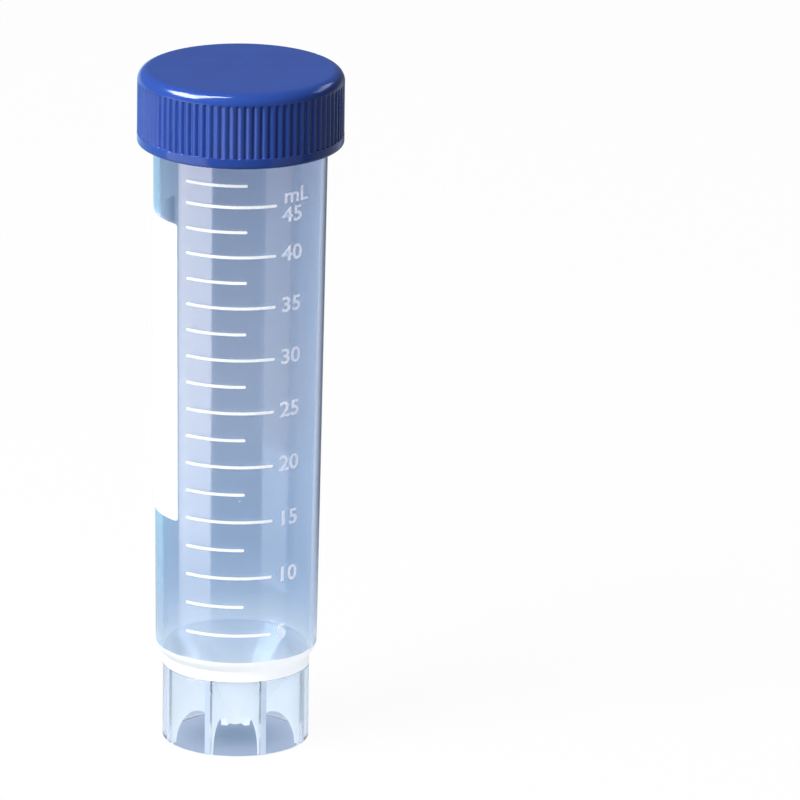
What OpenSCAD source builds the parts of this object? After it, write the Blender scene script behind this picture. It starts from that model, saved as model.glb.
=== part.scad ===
// 50 ml conical tube that stands on its own skirt, with a flat-top screw cap.
// The axis is Z, the base ring stands on z = 0, and the scale faces -Y.
// Millimetres, millilitres and degrees throughout.

/* [Barrel] */
// Length of the tube from the base ring to the mouth
tube_len = 115.8; // [100:0.1:130]
// Outside diameter where the barrel meets the shoulder
barrel_low_d = 27.3; // [26:0.1:28]
// Outside diameter at the mouth
barrel_top_d = 29.6; // [29:0.1:30.2]
// Wall just above the shoulder
wall_low = 1.3; // [1:0.05:1.6]
// Wall at the mouth
wall_top = 1.05; // [0.8:0.05:1.2]
// Depth of the straight seat for the cap's plug
seat_depth = 5; // [4:0.5:8]
// Rounding of the mouth's two edges
lip_r = 0.3; // [0.1:0.05:0.35]

/* [Cone] */
// Height at which the barrel turns in to the cone
shoulder_z = 16.6; // [16:0.1:20]
// Rounding of the corner between barrel and shoulder
shoulder_r = 3; // [1:0.5:4]
// Height of the cone's rounded tip above the table
tip_z = 2.0; // [1.5:0.1:2.5]
// Outside radius of the tip
tip_r = 3.2; // [2.4:0.1:3.6]
// Wall of the cone
cone_wall = 0.95; // [0.8:0.05:1.4]

/* [Skirt] */
// Step in from the barrel's outside to the standing skirt's
skirt_step = 1.25; // [0.8:0.05:1.6]
// Wall of the skirt
skirt_wall = 1.15; // [0.9:0.05:1.4]
// Rounding of the base ring's outer edge
foot_r = 0.35; // [0.1:0.05:0.4]
// Number of webs between the cone and the skirt
web_count = 8; // [4:1:12]
// Thickness of a web
web_t = 1.0; // [0.7:0.1:1.4]
// Height of the arch under each web
arch_h = 5.3; // [4:0.1:6]
// Distance of the arch's highest point from the axis
arch_peak_r = 7.4; // [6.8:0.1:8]
// Distance of the arch's inner foot from the axis
arch_in_r = 5.0; // [4.6:0.1:5.8]
// Height of the webs' lower edge beside the tip
web_low_z = 3.2; // [2.8:0.1:3.8]
// Width of the strip that a web keeps along the skirt under its arch
web_strip = 0.6; // [0.3:0.1:1]

/* [Cap] */
// Wall of the cap from its bore to the crests of the grip ribs
cap_wall = 1.5; // [1.3:0.1:2]
// Height of the cap
cap_h = 12.7; // [11:0.1:16]
// Thickness of the cap's top
cap_top_t = 1.6; // [1.2:0.1:2.2]
// Rounding of the cap's top edge
cap_edge_r = 2.0; // [1.4:0.1:2.2]
// Rounding of the cap's lower rim
cap_rim_r = 0.5; // [0.3:0.1:0.5]
// Gap between the neck and the cap's bore, where the thread turns
thread_gap = 1.1; // [0.9:0.05:1.2]
// Number of grip grooves
groove_count = 80; // [60:1:90]
// Radius of the round cutter that leaves a groove
groove_r = 0.6; // [0.45:0.05:0.62]
// Depth of a groove
groove_depth = 0.65; // [0.4:0.05:0.7]
// Plain band under the grooves
rim_h = 1.6; // [1.2:0.1:2.5]

/* [Plug] */
// Height of the sealing plug under the cap's top
plug_h = 3.2; // [2:0.1:4]
// Wall of the plug
plug_t = 0.9; // [0.7:0.05:1.3]
// Gap between the plug and its seat in the mouth
plug_gap = 0.15; // [0.1:0.05:0.3]
// Lead-in on the plug's end
plug_lead = 0.4; // [0.2:0.05:0.6]

/* [Scale] */
// Volume between two lines
line_step = 2.5; // [2.5:2.5:5]
// Volume of the lowest line
line_first = 5; // [5:2.5:10]
// Volume of the highest line
line_last = 47.5; // [40:2.5:47.5]
// Distance by which the highest line is printed low, to stay clear of the cap
last_drop = 0.6; // [0:0.1:1]
// Thickness of a line
line_h = 0.5; // [0.3:0.05:0.8]
// Angle at which the lines start, from -Y towards +X
line_start = -38; // [-45:1:-30]
// Angle that a long line covers
long_span = 63; // [50:1:63]
// Angle that a short line covers
short_span = 43; // [30:1:45]
// Thickness of the printed ink
ink_t = 0.08; // [0.05:0.01:0.12]

/* [Write-on patch] */
// Angle at which the patch ends beside the scale
patch_end = -46; // [-50:1:-46]
// Angle that the patch covers
patch_span = 79; // [60:1:90]
// Volume line that the patch starts below
patch_low_ml = 15; // [10:2.5:20]
// Distance of the patch's lower edge below that line
patch_drop = 1.2; // [0.5:0.1:3]
// Volume line that the patch reaches
patch_high_ml = 42.5; // [35:2.5:45]

/* [Hidden] */
$fn = 180;
arc_steps = 8;
past = 1; // how far a cutter runs past what it cuts
bury = 0.4; // how far a web runs into the walls it joins
front = -90; // polar angle of the side that faces -Y
mm3_per_ml = 1000;
long_step = 5; // volume between long lines

// Barrel and bore, outside radius and bore radius as straight lines of height
low_r = barrel_low_d / 2;
top_r = barrel_top_d / 2;
barrel_slope = (top_r - low_r) / (tube_len - shoulder_z);
function barrel_r(z) = low_r + barrel_slope * (z - shoulder_z);
seat_z = tube_len - seat_depth;
seat_r = top_r - wall_top;
bore_low_r = low_r - wall_low;
bore_slope = (seat_r - bore_low_r) / (seat_z - shoulder_z);

// Cone, its outside running down from the shoulder, tangent to the round tip
tip_centre_z = tip_z + tip_r;
corner_reach = norm([low_r, shoulder_z - tip_centre_z]);
cone_half_angle = acos(tip_r / corner_reach) - atan2(shoulder_z - tip_centre_z, low_r);
cone_run = tan(cone_half_angle);
tip_side_r = tip_r * cos(cone_half_angle);
tip_side_z = tip_centre_z - tip_r * sin(cone_half_angle);
function cone_z(r) = tip_side_z + (r - tip_side_r) / cone_run;

// Inside of the cone, one wall in from its outside
well_r = tip_r - cone_wall;
well_side_r = well_r * cos(cone_half_angle);
well_side_z = tip_centre_z - well_r * sin(cone_half_angle);
well_top_z = well_side_z + (bore_low_r - well_side_r) / cone_run;

// Volume up to the top of the cone, then the height of any larger volume:
// a tapered bore holds the difference of two cones, so the radius is a cube root
well_cap_h = well_r - well_r * sin(cone_half_angle);
well_cap_ml = PI * pow(well_cap_h, 2) * (3 * well_r - well_cap_h) / 3 / mm3_per_ml;
well_cone_h = well_top_z - well_side_z;
well_cone_ml = PI * well_cone_h / 3 / mm3_per_ml
    * (pow(well_side_r, 2) + well_side_r * bore_low_r + pow(bore_low_r, 2));
well_ml = well_cap_ml + well_cone_ml;
function level_z(ml) = well_top_z + (pow(3 * bore_slope * (ml - well_ml) * mm3_per_ml / PI
    + pow(bore_low_r, 3), 1 / 3) - bore_low_r) / bore_slope;

// Skirt
skirt_r = low_r - skirt_step;
skirt_bore_r = skirt_r - skirt_wall;
skirt_top_z = cone_z(skirt_r);
web_top_z = cone_z(skirt_bore_r) + bury;

// Cap, which seats on the mouth and stays clear of the neck
cap_bore_r = top_r + thread_gap;
cap_r = cap_bore_r + cap_wall;
cap_top_z = tube_len + cap_top_t;
cap_low_z = cap_top_z - cap_h;
plug_r = seat_r - plug_gap;
plug_low_z = tube_len - plug_h;
groove_centre_r = cap_r - groove_depth + groove_r;

long_lines = [for (ml = [line_first : line_step : line_last]) if (ml % long_step == 0) ml];
short_lines = [for (ml = [line_first : line_step : line_last]) if (ml % long_step != 0) ml];

function unit(v) = v / norm(v);

// The corner at b between a and c, rounded by an arc of radius r tangent to both sides
function rounded(a, b, c, r) =
    let (
        to_a = unit(a - b),
        to_c = unit(c - b),
        half = acos(to_a * to_c) / 2,
        centre = b + unit(to_a + to_c) * r / sin(half),
        reach = r / tan(half),
        first = b + to_a * reach - centre,
        last = b + to_c * reach - centre,
        start = atan2(first[1], first[0]),
        turn = atan2(last[1], last[0]) - start,
        sweep = turn > 180 ? turn - 360 : turn < -180 ? turn + 360 : turn
    )
    [for (i = [0 : arc_steps]) let (angle = start + sweep * i / arc_steps)
        centre + r * [cos(angle), sin(angle)]];

// A quarter dome from the axis up to the side of a tip of radius r
function dome(r) = [for (i = [0 : arc_steps]) let (angle = (90 - cone_half_angle) * i / arc_steps - 90)
    [r * cos(angle), tip_centre_z + r * sin(angle)]];

// Outside of barrel and shoulder, closed along the axis
module body_section() {
    shoulder_low = [skirt_r, skirt_top_z];
    corner = [low_r, shoulder_z];
    mouth = [top_r, tube_len];
    polygon(concat(
        dome(tip_r),
        [shoulder_low],
        rounded(shoulder_low, corner, mouth, shoulder_r),
        rounded(corner, mouth, [0, tube_len], lip_r),
        [[0, tube_len]]
    ));
}

// The space inside, with its mouth edge flared so that the lip comes out round
module bore_section() {
    mouth = [seat_r, tube_len];
    polygon(concat(
        dome(well_r),
        [[bore_low_r, well_top_z], [seat_r, seat_z]],
        [for (i = [0 : arc_steps]) let (angle = 90 * i / arc_steps)
            mouth + lip_r * [1 - cos(angle), sin(angle) - 1]],
        [[seat_r + lip_r, tube_len + past], [0, tube_len + past]]
    ));
}

// The skirt's ring, with a rounded outer edge to stand on
module skirt_section() {
    foot = [skirt_r, 0];
    polygon(concat(
        [[skirt_bore_r, 0]],
        rounded([skirt_bore_r, 0], foot, [skirt_r, skirt_top_z], foot_r),
        [[skirt_r, skirt_top_z], [skirt_bore_r, skirt_top_z]]
    ));
}

// What the webs leave clear: level beside the tip, then up in a quarter ellipse
// to the arch's peak and down in another to the strip along the skirt
module arch_section() {
    arch_out_r = skirt_bore_r - web_strip;
    polygon(concat(
        [[0, -past], [0, web_low_z]],
        [for (i = [0 : arc_steps]) let (angle = 180 - 90 * i / arc_steps)
            [arch_peak_r + (arch_peak_r - arch_in_r) * cos(angle),
                web_low_z + (arch_h - web_low_z) * sin(angle)]],
        [for (i = [1 : arc_steps]) let (angle = 90 - 90 * i / arc_steps)
            [arch_peak_r + (arch_out_r - arch_peak_r) * cos(angle), arch_h * sin(angle)]],
        [[arch_out_r, -past]]
    ));
}

// The webs, from the axis out into the skirt
module webs() {
    for (i = [0 : web_count - 1])
        rotate([0, 0, front + (i + 0.5) * 360 / web_count])
            translate([0, -web_t / 2, 0])
                cube([skirt_bore_r + bury, web_t, web_top_z]);
}

module tube() {
    color([0.72, 0.80, 0.93, 0.55])
        difference() {
            union() {
                rotate_extrude() body_section();
                rotate_extrude() skirt_section();
                difference() {
                    webs();
                    rotate_extrude() arch_section();
                }
            }
            rotate_extrude() bore_section();
        }
}

// Half section of the cap before its grip is cut
module cap_section() {
    top_edge = [cap_r, cap_top_z];
    rim = [cap_r, cap_low_z];
    polygon(concat(
        [[0, cap_top_z]],
        rounded([0, cap_top_z], top_edge, rim, cap_edge_r),
        rounded(top_edge, rim, [cap_bore_r, cap_low_z], cap_rim_r),
        [[cap_bore_r, cap_low_z], [cap_bore_r, tube_len]],
        [[plug_r, tube_len], [plug_r, plug_low_z + plug_lead]],
        [[plug_r - plug_lead, plug_low_z], [plug_r - plug_t, plug_low_z]],
        [[plug_r - plug_t, tube_len], [0, tube_len]]
    ));
}

module cap() {
    color([0.23, 0.32, 0.66])
        difference() {
            rotate_extrude() cap_section();
            for (i = [0 : groove_count - 1])
                rotate([0, 0, front + i * 360 / groove_count])
                    translate([groove_centre_r, 0, cap_low_z + rim_h])
                        cylinder(r = groove_r, h = cap_h, $fn = 24);
        }
}

// A printed field on the barrel between two heights, along its taper
module ink(z0, z1, from, span) {
    rotate([0, 0, front + from])
        rotate_extrude(angle = span)
            polygon([
                [barrel_r(z0), z0],
                [barrel_r(z0) + ink_t, z0],
                [barrel_r(z1) + ink_t, z1],
                [barrel_r(z1), z1]
            ]);
}

module marks(volumes, span) {
    color("white")
        for (ml = volumes) {
            z = level_z(ml) - (ml == line_last ? last_drop : 0);
            ink(z - line_h / 2, z + line_h / 2, line_start, span);
        }
}

module long_marks() marks(long_lines, long_span);

module short_marks() marks(short_lines, short_span);

module write_on_patch() {
    color([0.96, 0.97, 1])
        ink(level_z(patch_low_ml) - patch_drop, level_z(patch_high_ml),
            patch_end - patch_span, patch_span);
}

tube();
cap();
long_marks();
short_marks();
write_on_patch();
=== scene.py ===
"""Looks of a 50 ml conical tube that stands on its own skirt, closed by a ribbed screw cap.

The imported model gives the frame, and every piece sits in it. Lengths are in millimetres until a mesh is
written, which turns them into metres. Angles round the axis start at -Y, the side that the scale faces,
and grow towards +X.
"""
import logging
import math
from abc import ABC, abstractmethod
from dataclasses import dataclass, field
from enum import Enum
from functools import cache

import bpy
import numpy as np
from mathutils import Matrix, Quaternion, Vector


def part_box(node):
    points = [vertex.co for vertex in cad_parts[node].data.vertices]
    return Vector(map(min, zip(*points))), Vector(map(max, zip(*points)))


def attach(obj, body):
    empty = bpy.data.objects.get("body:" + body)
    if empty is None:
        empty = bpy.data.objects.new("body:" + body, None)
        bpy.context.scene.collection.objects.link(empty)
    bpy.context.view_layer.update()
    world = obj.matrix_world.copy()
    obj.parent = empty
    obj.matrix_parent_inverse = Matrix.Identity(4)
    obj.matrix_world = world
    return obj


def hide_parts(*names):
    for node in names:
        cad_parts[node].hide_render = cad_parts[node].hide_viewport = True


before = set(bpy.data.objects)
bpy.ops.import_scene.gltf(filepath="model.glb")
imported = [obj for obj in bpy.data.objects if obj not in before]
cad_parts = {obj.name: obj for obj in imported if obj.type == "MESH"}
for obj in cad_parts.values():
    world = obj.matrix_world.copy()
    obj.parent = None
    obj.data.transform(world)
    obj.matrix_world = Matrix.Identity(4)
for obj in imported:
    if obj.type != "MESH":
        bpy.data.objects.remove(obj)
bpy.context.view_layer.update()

LOG = logging.getLogger("conical_tube")
MM = 0.001
CLOUD_RANGE = (0.3, 0.7)
FIGURE_SHARE = 0.729

Array = np.ndarray
Piece, Mesh = bpy.types.Object, bpy.types.Mesh
Tree, Node, Socket = bpy.types.NodeTree, bpy.types.Node, bpy.types.NodeSocket
Colour = tuple[float, float, float]


class Body(Enum):
    """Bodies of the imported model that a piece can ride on."""

    TUBE = "tube"
    CAP = "cap"


class Slot(Enum):
    """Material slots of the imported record."""

    TUBE = "tube_plastic"
    CAP = "cap_plastic"
    SCALE = "scale_ink"
    PATCH = "patch_ink"


class Join(Enum):
    """What a tool does to a body."""

    ADD = "UNION"
    CUT = "DIFFERENCE"


# ---------------------------------------------------------------- surfaces


@dataclass(frozen=True)
class Surface:
    """Points in millimetres, and the polygons between them as index arrays of one width each."""

    points: Array
    faces: tuple[Array, ...]

    def volume(self) -> float:
        """Sums the tetrahedra from the origin to a fan of each polygon.

        Returns:
            The signed volume, positive where the faces point outwards.
        """
        total = 0.0
        for polygons in self.faces:
            first = self.points[polygons[:, 0]]
            for k in range(1, polygons.shape[1] - 1):
                second = self.points[polygons[:, k]]
                third = self.points[polygons[:, k + 1]]
                total += float(np.einsum("ij,ij->", first, np.cross(second, third))) / 6
        return total

    def outward(self) -> "Surface":
        """Turns the faces of a closed surface round if they point inwards.

        Returns:
            The same surface, with its faces pointing outwards.
        """
        if self.volume() >= 0:
            return self
        return Surface(self.points, tuple(polygons[:, ::-1] for polygons in self.faces))

    def object(self, name: str) -> Piece:
        """Writes the surface into a new mesh object at the origin, in metres.

        Args:
            name: Name of the object and of its mesh.

        Returns:
            The object, linked to the scene and shaded smooth.
        """
        mesh = bpy.data.meshes.new(name)
        polygons = [row for block in self.faces for row in block.tolist()]
        mesh.from_pydata((self.points * MM).tolist(), [], polygons)
        mesh.shade_smooth()
        return placed(name, mesh)


def read(items: bpy.types.bpy_prop_collection, name: str, width: int = 1, kind: type = float) -> Array:
    """One attribute of all points, loops or faces of a mesh.

    Args:
        items: The points, loops or faces.
        name: The attribute.
        width: Numbers that one item has.
        kind: Type of number.

    Returns:
        (n,) values, or (n, width) values where an item has several.
    """
    values = np.empty(len(items) * width, kind)
    items.foreach_get(name, values)
    return values.reshape(-1, width) if width > 1 else values


def placed(name: str, data: bpy.types.ID) -> Piece:
    """Makes an object in the scene.

    Args:
        name: Its name.
        data: Its mesh, curve, light or camera.

    Returns:
        The object, at the origin.
    """
    made = bpy.data.objects.new(name, data)
    bpy.context.scene.collection.objects.link(made)
    return made


def merged(surfaces: list[Surface]) -> Surface:
    """Several surfaces as one, each keeping its own points.

    Args:
        surfaces: The surfaces, in order.

    Returns:
        One surface with all their polygons.
    """
    starts = np.cumsum([0] + [len(surface.points) for surface in surfaces[:-1]])
    faces = tuple(
        polygons + start for surface, start in zip(surfaces, starts) for polygons in surface.faces
    )
    return Surface(np.vstack([surface.points for surface in surfaces]), faces)


def grid_faces(rows: int, columns: int, wrap: bool) -> Array:
    """Quads of a grid of points stored row by row.

    Args:
        rows: Number of rows.
        columns: Number of points in a row.
        wrap: Whether the last column joins the first.

    Returns:
        An (n, 4) array that runs along a row first, then to the next row.
    """
    index = np.arange(rows * columns).reshape(rows, columns)
    if wrap:
        index = np.hstack([index, index[:, :1]])
    corners = (index[:-1, :-1], index[:-1, 1:], index[1:, 1:], index[1:, :-1])
    return np.stack([corner.ravel() for corner in corners], axis=1)


def around_axis(angle: Array, radius: Array, height: Array) -> Array:
    """Points at angles from -Y towards +X, at given radii and heights, broadcast together."""
    angle, radius, height = np.broadcast_arrays(angle, radius, height)
    return np.stack([radius * np.sin(angle), -radius * np.cos(angle), height], axis=-1)


def revolve(radius: Array, height: Array, around: int) -> Surface:
    """A closed turned surface: radius(row, angle) carried round the axis at height(row).

    Args:
        radius: (n,) radii, or (n, around) where the radius also changes with the angle.
            The first and last rows are poles on the axis.
        height: (n,) heights of the rows.
        around: Number of points in a ring.

    Returns:
        Rings of quads, closed by a fan of triangles at each pole.
    """
    rows = radius[1:-1].reshape(len(height) - 2, -1)
    angle = np.arange(around) * 2 * np.pi / around
    rings = around_axis(angle[None, :], rows, height[1:-1, None]).reshape(-1, 3)
    poles = np.array([[0, 0, height[0]], [0, 0, height[-1]]])
    count = len(rings)
    ring = np.arange(around)
    following = np.roll(ring, -1)
    top = count - around
    low_fan = np.stack([np.full(around, count), following, ring], axis=1)
    top_fan = np.stack([np.full(around, count + 1), top + ring, top + following], axis=1)
    quads = grid_faces(len(rows), around, wrap=True)
    return Surface(np.vstack([rings, poles]), (quads, low_fan, top_fan)).outward()


def carried(sections: Array) -> Surface:
    """A closed loop carried along a path, with a flat polygon over each end.

    Args:
        sections: (n, m, 3) points, one loop of m points for each of n places on the path.

    Returns:
        The closed surface.
    """
    rows, columns, _ = sections.shape
    ends = np.array([np.arange(columns)[::-1], np.arange(columns) + (rows - 1) * columns])
    faces = (grid_faces(rows, columns, wrap=True), ends)
    return Surface(sections.reshape(-1, 3), faces).outward()


# ---------------------------------------------------------------- profiles


def arc(centre: Array, radius: float, start: float, end: float, steps: int) -> Array:
    """Points of a circular arc between two angles in radians, both ends kept."""
    angle = np.linspace(start, end, steps + 1)
    return np.asarray(centre) + radius * np.stack([np.cos(angle), np.sin(angle)], axis=1)


def rounded(before: Array, corner: Array, after: Array, radius: float, steps: int) -> Array:
    """The arc of a given radius that touches both sides of a corner.

    Args:
        before: Point that the profile comes from.
        corner: The sharp corner.
        after: Point that the profile goes on to.
        radius: Radius of the arc.
        steps: Number of pieces of the arc.

    Returns:
        (steps + 1, 2) points.
    """
    before, corner, after = (np.asarray(point, float) for point in (before, corner, after))
    back = (before - corner) / np.linalg.norm(before - corner)
    ahead = (after - corner) / np.linalg.norm(after - corner)
    half = math.acos(float(back @ ahead)) / 2
    middle = (back + ahead) / np.linalg.norm(back + ahead)
    centre = corner + middle * radius / math.sin(half)
    reach = radius / math.tan(half)
    first = corner + back * reach - centre
    last = corner + ahead * reach - centre
    start = math.atan2(first[1], first[0])
    turn = math.atan2(last[1], last[0]) - start
    turn = (turn + math.pi) % (2 * math.pi) - math.pi
    return arc(centre, radius, start, start + turn, steps)


def run(start: Array, end: Array, steps: int) -> Array:
    """Inner points of a straight run, close together at its ends: a half cosine wave of steps."""
    share = (1 - np.cos(np.linspace(0, np.pi, steps + 1)[1:-1])) / 2
    return np.asarray(start) + np.outer(share, np.asarray(end, float) - np.asarray(start, float))


@dataclass(frozen=True)
class Bend:
    """A corner of a profile, rounded by an arc of some radius in some steps."""

    corner: tuple[float, float]
    radius: float
    steps: int


def profile(*stops: Bend | Array | tuple[float, float], steps: int = 10) -> Array:
    """Joins bends, stretches of points and single points by straight runs.

    Args:
        *stops: Bends, (n, 2) arrays and points, in order. A bend isn't first or last.
        steps: Pieces in each straight run.

    Returns:
        All points as an (n, 2) array of radius and height.
    """
    blocks = [np.atleast_2d(stop.corner if isinstance(stop, Bend) else stop).astype(float) for stop in stops]
    for k, stop in enumerate(stops):
        if isinstance(stop, Bend):
            after = getattr(stops[k + 1], "corner", blocks[k + 1][0])
            before = getattr(stops[k - 1], "corner", blocks[k - 1][-1])
            blocks[k] = rounded(before, stop.corner, after, stop.radius, stop.steps)
    joined = [blocks[0]]
    for earlier, later in zip(blocks[:-1], blocks[1:]):
        joined += [run(earlier[-1], later[0], steps), later]
    return np.vstack(joined)


def smooth_step(value: Array, low: float, high: float) -> Array:
    """Rises from 0 to 1 between two values, level at both: 3t squared less 2t cubed."""
    share = np.clip((value - low) / (high - low), 0, 1)
    return share * share * (3 - 2 * share)


def soft_least(first: Array, second: Array, ease: float) -> Array:
    """The lesser of two values, with the corner between them rounded over a length of ease."""
    least = np.minimum(first, second)
    return least - ease * np.log1p(np.exp(-np.abs(first - second) / ease))


def combine(body: Piece, tool: Piece, join: Join) -> None:
    """Joins a closed tool to a closed body, or cuts it away, and keeps the result as the mesh.

    Args:
        body: Object whose mesh is replaced.
        tool: Object that is joined or cut away, and then removed.
        join: Which of the two.
    """
    step = body.modifiers.new("combine", "BOOLEAN")
    step.operation = join.value
    step.solver = "MANIFOLD"
    step.object = tool
    evaluated = body.evaluated_get(bpy.context.evaluated_depsgraph_get())
    old = body.data
    name = old.name
    body.data = bpy.data.meshes.new_from_object(evaluated)
    body.modifiers.clear()
    bpy.data.meshes.remove(old)
    body.data.name = name
    bpy.data.objects.remove(tool)


# ---------------------------------------------------------------- node trees


@dataclass(frozen=True)
class Sheet:
    """A node tree, with short ways to place and join its nodes."""

    tree: Tree

    def add(self, kind: str, inputs: dict | None = None, **settings) -> Node:
        """Places a node.

        Args:
            kind: Node type without its ShaderNode prefix.
            inputs: Values or sockets for its inputs, by name or number.
            **settings: Properties of the node itself.

        Returns:
            The node.
        """
        node = self.tree.nodes.new("ShaderNode" + kind)
        for key, value in settings.items():
            setattr(node, key, value)
        self.fill(node, inputs or {})
        return node

    def fill(self, node: Node, inputs: dict) -> None:
        """Gives a node's inputs their values or sockets, by name or number."""
        for key, value in inputs.items():
            self.give(node.inputs[key], value)

    def give(self, socket: Socket, value: object) -> None:
        """Joins another socket to an input, or sets the input's own value.

        Args:
            socket: The input.
            value: A socket, a number, or a vector or colour of three numbers.
        """
        if isinstance(value, Socket):
            self.tree.links.new(value, socket)
        else:
            socket.default_value = (*value, 1) if socket.type == "RGBA" else value

    def math(self, operation: str, *values: object) -> Socket:
        """Result of a Math node on values or sockets."""
        return self.add("Math", dict(enumerate(values)), operation=operation).outputs[0]

    def spread(
        self, value: object, low: float, high: float, to_low: float = 0.0, to_high: float = 1.0
    ) -> Socket:
        """Result of a Map Range node from low..high to to_low..to_high."""
        inputs = {"Value": value, "From Min": low, "From Max": high, "To Min": to_low, "To Max": to_high}
        return self.add("MapRange", inputs).outputs["Result"]

    def vector(self, operation: str, *values: object) -> Socket:
        """Vector result of a Vector Math node on two values or sockets."""
        return self.add("VectorMath", dict(enumerate(values)), operation=operation).outputs[0]

    def scaled(self, colour: Colour, share: object) -> Socket:
        """A colour times a number."""
        return self.add("VectorMath", {0: colour, "Scale": share}, operation="SCALE").outputs[0]

    def noise(self, scale: object, detail: float) -> Socket:
        """Noise on Object coordinates."""
        inputs = {"Vector": self.place(), "Scale": scale, "Detail": detail}
        return self.add("TexNoise", inputs).outputs["Fac"]

    def bump(self, height: object) -> Socket:
        """Normal of a skin with a height in millimetres."""
        return self.add("Bump", {"Height": height, "Distance": MM, "Strength": 1.0}).outputs["Normal"]

    def passed(self, kind: str, times: float = 0.5) -> Socket:
        """1 where the light path's Glossy, Diffuse or Transmission depth is over a number of times."""
        return self.math("GREATER_THAN", self.add("LightPath").outputs[kind + " Depth"], times)

    def glow(self, colour: Colour | Socket) -> Socket:
        """An emission of strength 1."""
        return self.add("Emission", {"Color": colour, "Strength": 1.0}).outputs[0]

    def either(self, share: object, *shaders: Socket) -> Socket:
        """Two shaders mixed: the first at share 0, the second at share 1."""
        return self.add("MixShader", {0: share, **dict(enumerate(shaders, start=1))}).outputs[0]

    def blend(self, share: object, first: object, second: object) -> Socket:
        """A colour mixed from two others.

        Args:
            share: Share of the second, a number or a socket.
            first: A colour or a socket.
            second: A colour or a socket.

        Returns:
            The mixed colour.
        """
        node = self.add("Mix", data_type="RGBA")
        for key, value in (("Factor", share), ("A", first), ("B", second)):
            self.give(next(s for s in node.inputs if s.name == key and s.enabled), value)
        return next(s for s in node.outputs if s.enabled)

    def ramp(self, value: object, stops: list[tuple[float, Colour]]) -> Socket:
        """A colour that runs through several stops.

        Args:
            value: The number or socket that it follows.
            stops: Places from 0 to 1, and the colour at each.

        Returns:
            The colour.
        """
        node = self.add("ValToRGB", {"Fac": value})
        elements = node.color_ramp.elements
        while len(elements) < len(stops):
            elements.new(0.5)
        for element, (place, colour) in zip(elements, stops):
            element.position = place
            element.color = (*colour, 1)
        return node.outputs["Color"]

    def place(self) -> Socket:
        """Object coordinates."""
        return self.add("TexCoord").outputs["Object"]

    def height(self) -> Socket:
        """Height of the point above the table, in millimetres."""
        split = self.add("SeparateXYZ", {"Vector": self.place()})
        return self.math("DIVIDE", split.outputs["Z"], MM)

    def group(self, tree: Tree, inputs: dict) -> Node:
        """Places a node group with its own values."""
        return self.add("Group", inputs, node_tree=tree)


def new_group(name: str, inputs: dict[str, float], outputs: dict[str, str]) -> tuple[Sheet, object, Node]:
    """Starts a shader node group.

    Args:
        name: Name of the group.
        inputs: Default value of each number that it takes.
        outputs: Socket type of each output.

    Returns:
        Its sheet, what it is given by name, and the node that takes its results.
    """
    tree = bpy.data.node_groups.new(name, "ShaderNodeTree")
    for key, value in inputs.items():
        tree.interface.new_socket(key, in_out="INPUT", socket_type="NodeSocketFloat").default_value = value
    for key, kind in outputs.items():
        tree.interface.new_socket(key, in_out="OUTPUT", socket_type=kind)
    return Sheet(tree), tree.nodes.new("NodeGroupInput").outputs, tree.nodes.new("NodeGroupOutput")


class Groups:
    """Shader node groups that several finishes share, each made on first use."""

    slow_scale = 180.0
    worn_range = (0.22, 0.36)

    @staticmethod
    @cache
    def moulding() -> Tree:
        """Moulded skin, with slow sink and fine grain.

        Returns:
            A group with a cloudy mask and a normal.
        """
        values = {"Cloud Scale": 120.0, "Sink Depth": 0.02, "Grain Scale": 2500.0, "Grain Depth": 0.002}
        kinds = {"Mask": "NodeSocketFloat", "Normal": "NodeSocketVector"}
        sheet, given, result = new_group("moulding", values, kinds)
        cloud = sheet.noise(given["Cloud Scale"], detail=2.0)
        grain = sheet.noise(given["Grain Scale"], detail=1.0)
        sink = sheet.math("MULTIPLY", cloud, given["Sink Depth"])
        rough = sheet.math("MULTIPLY", grain, given["Grain Depth"])
        sheet.fill(result, {"Mask": cloud, "Normal": sheet.bump(sheet.math("ADD", sink, rough))})
        return sheet.tree

    @staticmethod
    @cache
    def print_cover() -> Tree:
        """Screen-printed ink, worn where two noises meet.

        Returns:
            A group with the share of the ink that is left, and a normal for its uneven skin.
        """
        values = {"Speck Scale": 2200.0, "Ink": 1.0, "Wear": 0.1, "Skin Depth": 0.01}
        kinds = {"Cover": "NodeSocketFloat", "Normal": "NodeSocketVector"}
        sheet, given, result = new_group("print_cover", values, kinds)
        speck = sheet.noise(given["Speck Scale"], detail=3.0)
        mixed = sheet.math("MULTIPLY", speck, sheet.noise(Groups.slow_scale, detail=1.0))
        lost = sheet.math("MULTIPLY", sheet.spread(mixed, *Groups.worn_range, 1.0, 0.0), given["Wear"])
        cover = sheet.math("MULTIPLY", sheet.math("SUBTRACT", 1.0, lost), given["Ink"])
        normal = sheet.bump(sheet.math("MULTIPLY", speck, given["Skin Depth"]))
        sheet.fill(result, {"Cover": cover, "Normal": normal})
        return sheet.tree


# ---------------------------------------------------------------- finishes


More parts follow.
